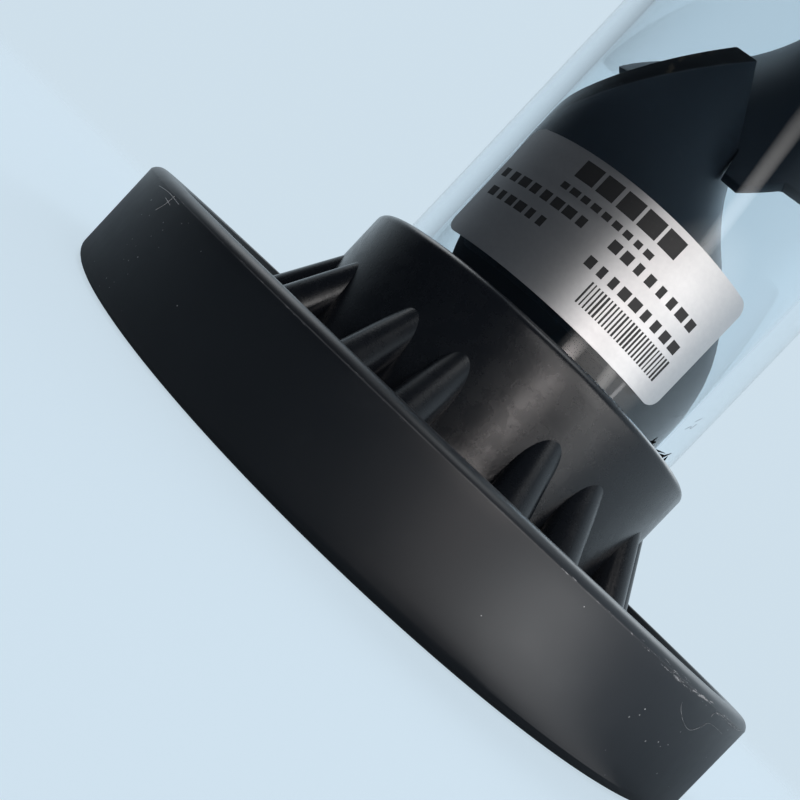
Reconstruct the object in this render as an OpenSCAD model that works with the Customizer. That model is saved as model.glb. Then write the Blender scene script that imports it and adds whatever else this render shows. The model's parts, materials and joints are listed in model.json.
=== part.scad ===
// In-line static mixer: a clear pipe cemented between two ribbed socket flanges, with a stack of
// twisted plates inside it. Neighbouring plates twist in opposite directions and cross at right
// angles. The axis is +Z and the lower flange stands on its sealing face at z = 0.

/* [Pipe] */
// Outside diameter of the clear pipe
pipe_od = 89; // [60:0.5:110]
// Wall of the clear pipe
pipe_wall = 5.5; // [3:0.25:8]

/* [Flange rim] */
// Outside diameter of each flange
flange_od = 190; // [186:1:260]
// Thickness of the rim
rim_thick = 25; // [18:0.5:36]
// Radius of the rounded edge round the sealing face
front_round = 2.5; // [0.5:0.25:5]
// Radial width of the rounded shoulder round the back
shoulder_width = 2.6; // [2:0.1:4]
// Height of the rounded shoulder, from the ridge where it starts
shoulder_height = 1.8; // [1:0.1:2]
// Radial width of the flat lip round the back
lip_width = 4.4; // [1:0.2:5]
// Depth of the recess inside the lip
recess_depth = 3; // [1:0.25:6]

/* [Bolt holes] */
// Diameter of the bolt circle
bolt_circle = 150; // [144:1:152]
// Number of bolt holes
bolt_count = 8; // [4:1:10]
// Diameter of each bolt hole
bolt_hole = 19; // [12:0.5:22]

/* [Sealing face] */
// Number of gasket grooves in the sealing face
groove_count = 3; // [1:1:4]
// Distance from the flow bore to the middle of the innermost groove
groove_margin = 12; // [6:0.5:15]
// Radial distance from one groove to the next
groove_pitch = 4; // [2:0.5:5]
// Width of each groove
groove_width = 1.5; // [0.5:0.25:1.75]
// Depth of each groove
groove_depth = 0.8; // [0.2:0.1:2]

/* [Hub and socket] */
// Wall of the hub round the pipe
hub_wall = 7; // [5:0.25:10]
// Height of the hub mouth above the sealing face
hub_height = 53.5; // [44:0.5:80]
// Radius of the rounded edge of the hub mouth
hub_round = 2; // [0.5:0.25:4]
// Radius of the fillet where the hub meets the recess floor
root_fillet = 2; // [0.5:0.25:4]
// Thickness of the stop that the pipe end rests on
stop_thick = 6; // [4:0.5:12]
// Radial ledge of the stop inside the pipe bore
stop_ledge = 2; // [1:0.25:5]
// Gap round the pipe in the socket, filled with cement
cement_gap = 0.1; // [0.05:0.05:0.5]
// Chamfer inside the hub mouth
mouth_chamfer = 1.5; // [0.5:0.25:3]

/* [Ribs] */
// Angle between the two ribs of a pair
rib_spread = 16.5; // [12:0.5:20]
// Radius of a rib where it runs into the hub
rib_tip_r = 3.8; // [2:0.1:5]
// Radius of a rib at its foot
rib_foot_r = 5.4; // [3:0.1:6]
// Lean of a rib toward the axis, in degrees
rib_lean = 26; // [15:1:35]
// Height on the hub where a rib's ridge ends
rib_top = 39; // [32:0.5:43]

/* [Mixing plates] */
// Number of twisted plates
plate_count = 6; // [2:1:8]
// Length of one plate, from joint to joint
plate_length = 120; // [90:1:180]
// Twist of one plate, in degrees
plate_twist = 180; // [120:10:200]
// Thickness of a plate
plate_thick = 5.2; // [3:0.1:7]
// Gap between a plate's edges and the pipe
plate_gap = 0.3; // [0.1:0.05:1]
// Direction of the first plate at its lower end, in degrees from +X
plate_angle = 71; // [0:1:180]
// Gap above the last plate
stack_gap = 0.3; // [0.1:0.1:1]

/* [Fork at a joint] */
// Length of the fork that straddles the plate below
fork_length = 6.4; // [3:0.1:12]
// Half width of the fork at its tips
fork_tip = 9; // [7:0.5:14]
// Half width of the fork at its root
fork_root = 17; // [15:0.5:24]
// Gap between the fork and the plate it straddles
fork_gap = 0.15; // [0.05:0.05:0.5]

/* [Label] */
// Length of the label round the pipe
label_length = 66; // [30:1:120]
// Height of the label along the pipe
label_height = 30; // [15:1:60]
// Thickness of the label
label_thick = 0.2; // [0.1:0.05:0.5]
// Film of glue under the label
label_glue = 0.05; // [0.02:0.01:0.1]
// Radius of the label's corners
label_corner = 3; // [1:0.5:6]
// Distance from the hub mouth to the label
label_offset = 5.3; // [2:0.1:30]
// Direction of the label's middle, in degrees from +X
label_angle = -100; // [-180:1:180]

/* [Hidden] */
$fn = 96;
// Small overlap that lets a cut pass right through
slip = 0.5;
// Flats that make up a rounded corner of the label
corner_steps = 6;
pipe_r = pipe_od / 2;
bore_r = pipe_r - pipe_wall;
flow_r = bore_r - stop_ledge;
flange_r = flange_od / 2;
socket_r = pipe_r + cement_gap;
hub_r = socket_r + hub_wall;
recess_r = flange_r - shoulder_width - lip_width;
// Radius of the shoulder's arc, which runs out level with the lip and leaves a ridge at its start
shoulder_r = (pow(shoulder_width, 2) + pow(shoulder_height, 2)) / (2 * shoulder_height);
floor_z = rim_thick - recess_depth;
pipe_length = plate_count * plate_length + stack_gap;
total_length = pipe_length + 2 * stop_thick;
plate_names = [for (i = [1:plate_count]) str("mixing_element_", i)];

flange_colour = [0.17, 0.19, 0.22];
plate_colour = [0.13, 0.15, 0.17];
pipe_colour = [0.78, 0.88, 0.95, 0.35];
label_colour = [0.88, 0.88, 0.89];

// Cuts the outer corner at [x, y] of a profile to a round of radius r. sy is 1 where the profile
// lies above the corner and -1 where it lies below.
module round_off(x, y, r, sy) {
    translate([x - r, y + sy * r])
        difference() {
            translate([0, sy > 0 ? -r - slip : 0])
                square([r + slip, r + slip]);
            circle(r);
        }
}

// What is cut from the back corner of the rim to leave the rounded shoulder.
module shoulder_cut() {
    translate([flange_r - shoulder_width, rim_thick - shoulder_r])
        difference() {
            translate([0, shoulder_r - shoulder_height])
                square([shoulder_width + slip, shoulder_height + slip]);
            circle(shoulder_r);
        }
}

// Half section of the rim: rounded in front, with a shoulder and a recess at the back.
module rim_section() {
    difference() {
        square([flange_r, rim_thick]);
        round_off(flange_r, 0, front_round, 1);
        shoulder_cut();
        translate([0, floor_z])
            square([recess_r, recess_depth + slip]);
    }
}

// Half section of the hub, with a fillet at its root.
module hub_section() {
    difference() {
        square([hub_r, hub_height]);
        round_off(hub_r, hub_height, hub_round, -1);
    }
    difference() {
        translate([hub_r - slip, floor_z - slip])
            square([root_fillet + slip, root_fillet + slip]);
        translate([hub_r + root_fillet, floor_z + root_fillet])
            circle(root_fillet);
    }
}

// One round rib that leans from the recess floor into the hub. Its foot is buried in the rim and
// its tip in the hub wall.
module rib() {
    tip_bury = hub_wall / 2;
    cross_x = hub_r - rib_tip_r * cos(rib_lean);
    cross_z = rib_top - rib_tip_r * sin(rib_lean);
    foot_z = floor_z - rib_foot_r * sin(rib_lean) - slip;
    run = (cross_z - foot_z) / cos(rib_lean);
    translate([cross_x + run * sin(rib_lean), 0, foot_z])
        rotate([0, -rib_lean, 0])
            cylinder(h = run + tip_bury, r1 = rib_foot_r, r2 = rib_tip_r);
}

// Ribs in pairs, one pair midway between each two bolt holes.
module ribs() {
    for (i = [0:bolt_count - 1])
        for (side = [-1, 1])
            rotate([0, 0, -90 + (i + 0.5) * 360 / bolt_count + side * rib_spread / 2])
                rib();
}

module bolt_holes() {
    for (i = [0:bolt_count - 1])
        rotate([0, 0, -90 + i * 360 / bolt_count])
            translate([bolt_circle / 2, 0, -slip])
                cylinder(h = rim_thick + 2 * slip, d = bolt_hole);
}

module gasket_grooves() {
    for (i = [0:groove_count - 1])
        rotate_extrude()
            translate([flow_r + groove_margin + i * groove_pitch, 0])
                polygon([
                    [-groove_width / 2, -slip],
                    [groove_width / 2, -slip],
                    [groove_width / 2, 0],
                    [0, groove_depth],
                    [-groove_width / 2, 0]
                ]);
}

// Socket, stop and flow bore, cut through the whole flange.
module socket() {
    translate([0, 0, -slip])
        cylinder(h = stop_thick + 2 * slip, r = flow_r);
    translate([0, 0, stop_thick])
        cylinder(h = hub_height, r = socket_r);
    translate([0, 0, hub_height - mouth_chamfer])
        cylinder(h = mouth_chamfer + slip, r1 = socket_r, r2 = socket_r + mouth_chamfer + slip);
}

module flange() {
    color(flange_colour)
        difference() {
            union() {
                rotate_extrude()
                    union() {
                        rim_section();
                        hub_section();
                    }
                ribs();
            }
            socket();
            bolt_holes();
            gasket_grooves();
        }
}

module lower_flange() {
    flange();
}

module upper_flange() {
    translate([0, 0, total_length])
        mirror([0, 0, 1])
            flange();
}

module clear_pipe() {
    color(pipe_colour)
        translate([0, 0, stop_thick])
            difference() {
                cylinder(h = pipe_length, r = pipe_r);
                translate([0, 0, -slip])
                    cylinder(h = pipe_length + 2 * slip, r = bore_r);
            }
}

// A twisted plate is a grid of cells across its width and along its length, given a thickness
// and turned about the axis.
twist_rate = plate_twist / plate_length;
half_width = sqrt(pow(bore_r - plate_gap, 2) - pow(plate_thick / 2, 2));
slice_turn = 6;
slices = ceil(plate_twist / slice_turn);
fork_slices = 2;
columns = 8;
// Cells of the grid that run on below the joint as the two prongs of the fork
prong_cells = [2, 4];

// Plates twist to the right and to the left in turn.
function hand(i) = i % 2 == 1 ? 1 : -1;

// Direction of plate i at its lower end: a right angle from the top of the plate below.
function lower_angle(i) = i == 1 ? plate_angle : lower_angle(i - 1) + hand(i - 1) * plate_twist + 90;

// Half width of the slot between the prongs, at a depth below the joint. It opens toward the
// tips, because the plate below turns the other way.
function slot_half(depth) =
    let (turn = 2 * twist_rate * depth)
    plate_thick / 2 * (1 + sin(turn)) / cos(turn) + fork_gap;

// Half width of the fork at a depth below the joint.
function fork_half(depth) = fork_root + (fork_tip - fork_root) * depth / fork_length;

// Distances from the axis of the cell borders, at a height above the joint.
function borders(z) =
    let (
        inner = slot_half(max(0, -z)),
        next = fork_half(max(0, -z)),
        half = [inner, next, (fork_root + half_width) / 2, half_width]
    )
    [-half[3], -half[2], -half[1], -half[0], half[0], half[1], half[2], half[3]];

// True where a cell is solid: the whole width above the joint, only the prongs below it.
function solid_cell(c, z) =
    c >= 0 && c < columns - 1 && (z > 0 || c == prong_cells[0] || c == prong_cells[1]);

// Corner of the grid on one face of the plate, turned to its direction at height z.
function corner(x, face, z, angle) =
    let (y = face * plate_thick / 2)
    [x * cos(angle) - y * sin(angle), x * sin(angle) + y * cos(angle), z];

// Two triangles for a cell border loop.
function quad(a, b, c, d) = [[a, b, c], [a, c, d]];

module twisted_plate(turn, first_angle, forked) {
    below = forked ? [for (k = [fork_slices:-1:1]) -fork_length * k / fork_slices] : [];
    levels = concat(below, [for (k = [0:slices]) plate_length * k / slices]);
    rows = len(levels) - 1;
    points = [
        for (z = levels)
            let (angle = first_angle + turn * twist_rate * z, xs = borders(z))
                for (face = [-1, 1])
                    for (x = xs)
                        corner(x, face, z, angle)
    ];
    middle = [for (r = [0:rows - 1]) (levels[r] + levels[r + 1]) / 2];
    filled = function(c, r) r >= 0 && r < rows && solid_cell(c, middle[r]);
    at = function(c, face, r) r * 2 * columns + face * columns + c;
    faces = [
        for (r = [0:rows - 1])
            for (c = [0:columns - 2])
                if (filled(c, r))
                    each concat(
                        quad(at(c, 0, r), at(c, 0, r + 1), at(c + 1, 0, r + 1), at(c + 1, 0, r)),
                        quad(at(c, 1, r), at(c + 1, 1, r), at(c + 1, 1, r + 1), at(c, 1, r + 1)),
                        filled(c - 1, r) ? [] :
                            quad(at(c, 0, r), at(c, 1, r), at(c, 1, r + 1), at(c, 0, r + 1)),
                        filled(c + 1, r) ? [] :
                            quad(at(c + 1, 0, r), at(c + 1, 0, r + 1), at(c + 1, 1, r + 1), at(c + 1, 1, r)),
                        filled(c, r - 1) ? [] :
                            quad(at(c, 0, r), at(c + 1, 0, r), at(c + 1, 1, r), at(c, 1, r)),
                        filled(c, r + 1) ? [] :
                            quad(at(c, 0, r + 1), at(c, 1, r + 1), at(c + 1, 1, r + 1), at(c + 1, 0, r + 1))
                    )
    ];
    polyhedron(points, faces, convexity = 6);
}

module mixing_element(i) {
    color(plate_colour)
        translate([0, 0, stop_thick + (i - 1) * plate_length])
            twisted_plate(hand(i), lower_angle(i), i > 1);
}

// Outline of the label before it is wrapped: a rectangle with round corners.
function label_outline() = [
    for (quarter = [0:3])
        for (step = [0:corner_steps])
            let (
                side = quarter == 0 || quarter == 3 ? 1 : -1,
                rise = quarter < 2 ? 1 : -1,
                angle = 90 * (quarter + step / corner_steps)
            )
            [
                side * (label_length / 2 - label_corner) + label_corner * cos(angle),
                rise * (label_height / 2 - label_corner) + label_corner * sin(angle)
            ]
];

// Thin sheet wrapped round part of the pipe: a ring, kept only inside the outline as it is seen
// from straight in front.
module rating_label() {
    label_r = pipe_r + label_glue;
    seen = [for (p = label_outline()) [label_r * sin(p[0] / label_r * 180 / PI), p[1]]];
    color(label_colour)
        translate([0, 0, hub_height + label_offset + label_height / 2])
            intersection() {
                rotate_extrude()
                    translate([label_r, -label_height / 2 - slip])
                        square([label_thick, label_height + 2 * slip]);
                rotate([0, 0, label_angle])
                    rotate([90, 0, 90])
                        linear_extrude(pipe_od)
                            polygon(seen);
            }
}

lower_flange();
upper_flange();
clear_pipe();
rating_label();
for (i = [1:plate_count])
    mixing_element(i);
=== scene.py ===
import json
import math

import bmesh
import bpy
from mathutils import Matrix, Quaternion, Vector


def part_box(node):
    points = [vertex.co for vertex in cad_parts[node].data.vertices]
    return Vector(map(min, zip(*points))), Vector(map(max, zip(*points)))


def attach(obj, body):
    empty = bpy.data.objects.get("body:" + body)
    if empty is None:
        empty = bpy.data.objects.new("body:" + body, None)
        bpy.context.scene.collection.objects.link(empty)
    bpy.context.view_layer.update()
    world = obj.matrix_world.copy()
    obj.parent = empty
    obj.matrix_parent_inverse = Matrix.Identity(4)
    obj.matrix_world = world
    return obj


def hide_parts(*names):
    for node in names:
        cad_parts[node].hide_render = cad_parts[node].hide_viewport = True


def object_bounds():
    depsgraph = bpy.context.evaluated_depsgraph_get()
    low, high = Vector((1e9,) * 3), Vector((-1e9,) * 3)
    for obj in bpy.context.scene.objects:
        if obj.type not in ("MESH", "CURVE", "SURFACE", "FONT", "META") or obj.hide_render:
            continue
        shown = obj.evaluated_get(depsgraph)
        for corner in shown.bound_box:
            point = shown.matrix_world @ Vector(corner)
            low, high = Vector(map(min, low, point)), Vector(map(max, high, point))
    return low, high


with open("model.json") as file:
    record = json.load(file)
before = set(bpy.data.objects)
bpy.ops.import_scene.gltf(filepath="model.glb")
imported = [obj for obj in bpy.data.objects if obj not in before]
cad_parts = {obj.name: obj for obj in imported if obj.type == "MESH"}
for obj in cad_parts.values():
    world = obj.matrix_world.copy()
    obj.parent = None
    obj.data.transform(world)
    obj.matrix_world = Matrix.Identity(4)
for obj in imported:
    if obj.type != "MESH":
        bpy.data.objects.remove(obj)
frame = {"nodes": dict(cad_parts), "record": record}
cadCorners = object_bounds()
mm = 0.001  # one millimetre in Blender units
weldReach = 0.001 * mm  # corners closer than this become one
creaseAngle = math.radians(24)  # edges that bend more than this stay sharp
print("frame loaded,", len(frame["nodes"]), "nodes")

# main sizes, read off the frame
pipeLow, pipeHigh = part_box("clear_pipe")
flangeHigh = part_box("lower_flange")[1]
labelLow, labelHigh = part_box("rating_label")
pipeRadius = pipeHigh.x
flangeRadius = flangeHigh.x
hubTop = flangeHigh.z
totalHeight = cadCorners[1].z
mountDims = {mount["name"]: mount["dims"] for mount in frame["record"]["mounts"]}
boltDims = mountDims["lower_bolt_circle"]
ridgeHeight = 23.2 * mm  # sharp ridge round the back of the rim, above the sealing face


# small helpers for node trees

def addNode(tree, kind, inputs=None, **settings):
    made = tree.nodes.new(kind)
    for key, value in settings.items():
        setattr(made, key, value)
    for key, value in (inputs or {}).items():
        if isinstance(value, bpy.types.NodeSocket):
            tree.links.new(value, made.inputs[key])
        else:
            made.inputs[key].default_value = value
    return made


def calc(tree, operation, *values):
    return addNode(tree, "ShaderNodeMath", dict(enumerate(values)), operation=operation).outputs[0]


def fade(tree, value, low, high, toLow=0.0, toHigh=1.0):
    inputs = {0: value, 1: low, 2: high, 3: toLow, 4: toHigh}
    return addNode(tree, "ShaderNodeMapRange", inputs, interpolation_type="SMOOTHSTEP").outputs[0]


def blendColour(tree, amount, first, second):
    made = addNode(tree, "ShaderNodeMix", data_type="RGBA")
    for index, value in ((0, amount), (6, first), (7, second)):
        if isinstance(value, bpy.types.NodeSocket):
            tree.links.new(value, made.inputs[index])
        else:
            made.inputs[index].default_value = value
    return made.outputs[2]


def vector(tree, x=0.0, y=0.0, z=0.0):
    return addNode(tree, "ShaderNodeCombineXYZ", {0: x, 1: y, 2: z}).outputs[0]


def split(tree, place):
    return addNode(tree, "ShaderNodeSeparateXYZ", {0: place}).outputs


def fromAxis(tree, place):
    flat = addNode(tree, "ShaderNodeVectorMath", {0: place, 1: (1, 1, 0)}, operation="MULTIPLY").outputs[0]
    return addNode(tree, "ShaderNodeVectorMath", {0: flat}, operation="LENGTH").outputs["Value"]


def rescale(tree, place, scale):
    return addNode(tree, "ShaderNodeMapping", {"Vector": place, "Scale": scale}).outputs[0]


def noise(tree, place, scale, detail=3.0, roughness=0.55):
    inputs = {"Vector": place, "Scale": scale, "Detail": detail, "Roughness": roughness}
    return addNode(tree, "ShaderNodeTexNoise", inputs).outputs["Fac"]


def newMaterial(name):
    material = bpy.data.materials.new(name)
    material.use_nodes = True
    tree = material.node_tree
    tree.nodes.clear()
    output = tree.nodes.new("ShaderNodeOutputMaterial")
    shader = tree.nodes.new("ShaderNodeBsdfPrincipled")
    tree.links.new(shader.outputs[0], output.inputs["Surface"])
    place = addNode(tree, "ShaderNodeTexCoord").outputs["Object"]
    return material, tree, shader, place


def bump(tree, shader, height, strength, distance):
    inputs = {"Height": height, "Strength": strength, "Distance": distance}
    made = addNode(tree, "ShaderNodeBump", inputs)
    tree.links.new(made.outputs[0], shader.inputs["Normal"])


def newTree(name, inputs):
    tree = bpy.data.node_groups.new(name, "GeometryNodeTree")
    face = tree.interface
    face.new_socket("Geometry", in_out="INPUT", socket_type="NodeSocketGeometry")
    for label, kind in inputs.items():
        face.new_socket(label, in_out="INPUT", socket_type="NodeSocket" + kind)
    face.new_socket("Geometry", in_out="OUTPUT", socket_type="NodeSocketGeometry")
    return tree, tree.nodes.new("NodeGroupInput").outputs


def closeTree(tree, geometry, material, sharpAngle=creaseAngle):
    # smooth faces, sharp edges past the angle, then plain geometry with its finish
    faces = addNode(tree, "GeometryNodeSetShadeSmooth", {0: geometry}, domain="FACE")
    corner = addNode(tree, "GeometryNodeInputMeshEdgeAngle").outputs[0]
    isSharp = addNode(tree, "FunctionNodeCompare", {0: corner, 1: sharpAngle}, operation="GREATER_THAN")
    edges = addNode(tree, "GeometryNodeSetShadeSmooth", {
        0: faces.outputs[0], 1: isSharp.outputs[0], 2: False,
    }, domain="EDGE")
    real = addNode(tree, "GeometryNodeRealizeInstances", {0: edges.outputs[0]})
    finish = addNode(tree, "GeometryNodeSetMaterial", {0: real.outputs[0], "Material": material})
    output = tree.nodes.new("NodeGroupOutput")
    tree.links.new(finish.outputs[0], output.inputs[0])


def runTree(piece, tree, values):
    modifier = piece.modifiers.new(tree.name, "NODES")
    modifier.node_group = tree
    for item in tree.interface.items_tree:
        if item.in_out == "INPUT" and item.name in values:
            modifier[item.identifier] = values[item.name]
    graph = bpy.context.evaluated_depsgraph_get()
    mesh = bpy.data.meshes.new_from_object(piece.evaluated_get(graph), depsgraph=graph)
    piece.modifiers.remove(modifier)
    piece.data = mesh
    return piece


# small helpers for meshes

def addPiece(name, work, material=None, smooth=True):
    mesh = bpy.data.meshes.new(name)
    bmesh.ops.recalc_face_normals(work, faces=work.faces)
    work.to_mesh(mesh)
    work.free()
    if smooth:
        mesh.shade_smooth()
    if material:
        mesh.materials.append(material)
    piece = bpy.data.objects.new(name, mesh)
    bpy.context.scene.collection.objects.link(piece)
    return piece


def sharpen(piece, angle=creaseAngle):
    piece.data.set_sharp_from_angle(angle=angle)
    return piece


def weld(piece, angle=creaseAngle):
    # joins corners that lie on top of each other after cuts and bevels
    work = bmesh.new()
    work.from_mesh(piece.data)
    bmesh.ops.remove_doubles(work, verts=work.verts, dist=weldReach)
    bmesh.ops.triangulate(work, faces=[f for f in work.faces if len(f.verts) > 4])
    bmesh.ops.dissolve_degenerate(work, edges=work.edges, dist=weldReach)
    work.to_mesh(piece.data)
    work.free()
    return sharpen(piece, angle)


def roundCorners(corners, stepAngle=math.radians(14)):
    # closed outline of (x, y, radius): each corner becomes an arc of its radius
    outline = []
    for i, (x, y, radius) in enumerate(corners):
        here = Vector((x, y))
        if not radius:
            outline.append(here)
            continue
        back = (Vector(corners[i - 1][:2]) - here).normalized()
        ahead = (Vector(corners[(i + 1) % len(corners)][:2]) - here).normalized()
        half = back.angle(ahead) / 2
        centre = here + (back + ahead).normalized() * radius / math.sin(half)
        start = here + back * radius / math.tan(half) - centre
        turn = math.copysign(math.pi - 2 * half, ahead.cross(back))
        steps = max(2, math.ceil(abs(turn) / stepAngle))
        for k in range(steps + 1):
            outline.append(centre + Matrix.Rotation(turn * k / steps, 2) @ start)
    return outline


def splitLong(outline, longest):
    points = []
    for i, here in enumerate(outline):
        ahead = outline[(i + 1) % len(outline)]
        parts = max(1, math.ceil((ahead - here).length / longest))
        points += [here.lerp(ahead, k / parts) for k in range(parts)]
    return points


def spin(outline, segments):
    # closed ring of the outline (distance from the axis, height)
    work = bmesh.new()
    rings = []
    for s in range(segments):
        angle = 2 * math.pi * s / segments
        rings.append([work.verts.new((p.x * math.cos(angle), p.x * math.sin(angle), p.y)) for p in outline])
    for s in range(segments):
        here, ahead = rings[s], rings[(s + 1) % segments]
        for k in range(len(outline)):
            n = (k + 1) % len(outline)
            work.faces.new((here[k], ahead[k], ahead[n], here[n]))
    return work


def cutAcross(work, axis, positions):
    normal = Vector([1.0 if i == axis else 0.0 for i in range(3)])
    for position in positions:
        everything = work.verts[:] + work.edges[:] + work.faces[:]
        bmesh.ops.bisect_plane(work, geom=everything, plane_co=normal * position, plane_no=normal)


def thicken(work, depth):
    # gives flat faces in the x-z plane a depth, half to each side
    bmesh.ops.translate(work, verts=work.verts, vec=(0, -depth / 2, 0))
    grown = bmesh.ops.extrude_face_region(work, geom=work.faces[:], use_keep_orig=True)
    moved = [v for v in grown["geom"] if isinstance(v, bmesh.types.BMVert)]
    bmesh.ops.translate(work, verts=moved, vec=(0, depth, 0))


def spread(low, high, step):
    count = max(1, round((high - low) / step))
    return [low + (high - low) * k / count for k in range(count + 1)]


# finishes

flangeLook = {
    "dark": (0.0070, 0.0086, 0.0120, 1),
    "light": (0.0115, 0.0138, 0.0180, 1),
    "dust": (0.060, 0.063, 0.070, 1),
    "scuff": (0.34, 0.34, 0.35, 1),
    "speck": (0.78, 0.78, 0.79, 1),
    "scuffFrom": math.radians(-69),  # the knocked stretch of the lower rim
    "scuffTo": math.radians(-32),
    "scuffSoft": 0.12,  # radians over which it fades in and out
    "dustyFrom": math.radians(-146),  # specks gather at the left of it
    "dustyTo": math.radians(-124),
    "dustySoft": 0.2,
    "partingSheenFrom": 0.05 * mm,  # the parting line and its painted edge highlight fade between these distances from the ridge
    "partingSheenTo": 0.2 * mm,
    "knockReach": 0.35 * mm,
    "knockExtra": 0.45 * mm,  # added in the knocked stretch
    "drawnOut": 0.14,  # share that draws the marks out along the rim
    "grainRadius": 72 * mm,  # hub and ribs inside this have the grain
    "grainFade": 3 * mm,
    "grainHeight": 22.3 * mm,
    "cloudScale": 14,
    "filmScale": 55,
    "lineScale": 420,
    "knockScale": 2300,
    "speckScale": 620,
    "blotchScale": 210,
    "grainScale": 1500,
    "swellScale": 26,
    "relief": 0.05 * mm,
    "ior": 1.5,
    "specular": 0.5,
}


def makeFlangePlastic():
    look = flangeLook
    material, tree, shader, place = newMaterial("flangePlastic")
    xyz = split(tree, place)
    radius = fromAxis(tree, place)
    height = calc(tree, "MINIMUM", xyz[2], calc(tree, "SUBTRACT", totalHeight, xyz[2]))
    angle = calc(tree, "ARCTAN2", xyz[1], xyz[0])
    onLower = calc(tree, "LESS_THAN", xyz[2], totalHeight / 2)

    def stretch(start, end, soft):
        # one run of the lower flange between two angles
        after = fade(tree, angle, start, start + soft)
        before = fade(tree, angle, end - soft, end, 1.0, 0.0)
        return calc(tree, "MULTIPLY", calc(tree, "MULTIPLY", after, before), onLower)

    # cloudy base colour under a thin film of dust
    cloud = noise(tree, place, look["cloudScale"], 4)
    base = blendColour(tree, fade(tree, cloud, 0.3, 0.7), look["dark"], look["light"])
    film = fade(tree, noise(tree, place, look["filmScale"], 6, 0.7), 0.52, 0.8, 0.0, 0.12)
    base = blendColour(tree, film, base, look["dust"])
    # thin parting line along the back edge of the rim, made lighter as a painted edge highlight, with pale
    # knocks on it
    outward = calc(tree, "SUBTRACT", radius, flangeRadius)
    upward = calc(tree, "SUBTRACT", height, ridgeHeight)
    squares = calc(tree, "ADD", calc(tree, "POWER", outward, 2), calc(tree, "POWER", upward, 2))
    toRidge = calc(tree, "SQRT", squares)
    along = calc(tree, "MULTIPLY", angle, flangeRadius * look["drawnOut"])
    around = vector(tree, along, xyz[2], radius)
    patchy = fade(tree, noise(tree, around, look["lineScale"], 3), 0.35, 0.65, 0.02, 0.17)
    # painted highlight: a faint lighter line along the ridge, laid over the real parting line
    line = calc(tree, "MULTIPLY", fade(tree, toRidge, look["partingSheenFrom"], look["partingSheenTo"], 1.0, 0.0), patchy)
    knocked = stretch(look["scuffFrom"], look["scuffTo"], look["scuffSoft"])
    reach = calc(tree, "MULTIPLY_ADD", knocked, look["knockExtra"], look["knockReach"])
    nearRidge = calc(tree, "SUBTRACT", 1.0, calc(tree, "DIVIDE", toRidge, reach))
    nearRidge = addNode(tree, "ShaderNodeClamp", {0: nearRidge}).outputs[0]
    knocks = calc(tree, "MULTIPLY", knocked, 0.055)
    knocks = calc(tree, "ADD", noise(tree, around, look["knockScale"], 5, 0.7), knocks)
    knocks = calc(tree, "MULTIPLY_ADD", nearRidge, 0.08, knocks)
    scuff = calc(tree, "MULTIPLY", fade(tree, knocks, 0.66, 0.75), fade(tree, nearRidge, 0.0, 0.35))
    marks = calc(tree, "MAXIMUM", scuff, line)
    # specks of dust on the rim, thicker in two places
    rolled = vector(tree, calc(tree, "MULTIPLY", angle, flangeRadius), xyz[2])
    cell = addNode(tree, "ShaderNodeTexVoronoi", {
        "Vector": rolled, "Scale": look["speckScale"],
    }, voronoi_dimensions="2D")
    pick = addNode(tree, "ShaderNodeSeparateColor", {0: cell.outputs["Color"]}).outputs
    dusty = stretch(look["dustyFrom"], look["dustyTo"], look["dustySoft"])
    alsoDusty = stretch(look["scuffFrom"], look["scuffTo"], look["dustySoft"])
    dusty = calc(tree, "MULTIPLY_ADD", alsoDusty, 0.35, dusty)
    kept = calc(tree, "GREATER_THAN", pick[0], calc(tree, "MULTIPLY_ADD", dusty, -0.147, 0.997))
    kept = calc(tree, "MULTIPLY", kept, calc(tree, "GREATER_THAN", radius, flangeRadius - 0.1 * mm))
    size = calc(tree, "MULTIPLY_ADD", calc(tree, "POWER", pick[1], 3.0), 0.08, 0.07)
    near = calc(tree, "DIVIDE", cell.outputs["Distance"], size)
    speck = calc(tree, "MULTIPLY", fade(tree, near, 0.4, 1.0, 1.0, 0.0), kept)
    speck = calc(tree, "MULTIPLY", speck, pick[2])
    marked = blendColour(tree, marks, base, look["scuff"])
    tree.links.new(blendColour(tree, speck, marked, look["speck"]), shader.inputs["Base Color"])
    # hub and ribs have a sparkling grain, the rim is smoother and softer
    inner = fade(tree, radius, look["grainRadius"], look["grainRadius"] + look["grainFade"], 1.0, 0.0)
    raised = fade(tree, height, look["grainHeight"] - mm, look["grainHeight"])
    grained = calc(tree, "MULTIPLY", inner, raised)
    blotch = noise(tree, place, look["blotchScale"], 5, 0.65)
    hubRough = calc(tree, "MULTIPLY_ADD", fade(tree, blotch, 0.38, 0.62), 0.06, 0.24)
    rimRough = calc(tree, "MULTIPLY_ADD", blotch, 0.12, 0.32)
    rough = addNode(tree, "ShaderNodeMix", {0: grained, 2: rimRough, 3: hubRough}).outputs[0]
    tree.links.new(calc(tree, "MULTIPLY_ADD", marks, 0.3, rough), shader.inputs["Roughness"])
    strength = calc(tree, "MULTIPLY_ADD", grained, 1.1, 0.06)
    grain = calc(tree, "MULTIPLY", noise(tree, place, look["grainScale"], 3, 0.7), strength)
    swell = calc(tree, "MULTIPLY", noise(tree, place, look["swellScale"], 2), 1.6)
    bump(tree, shader, calc(tree, "ADD", grain, swell), 0.4, look["relief"])
    shader.inputs["IOR"].default_value = look["ior"]
    shader.inputs["Specular IOR Level"].default_value = look["specular"]
    return material


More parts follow.
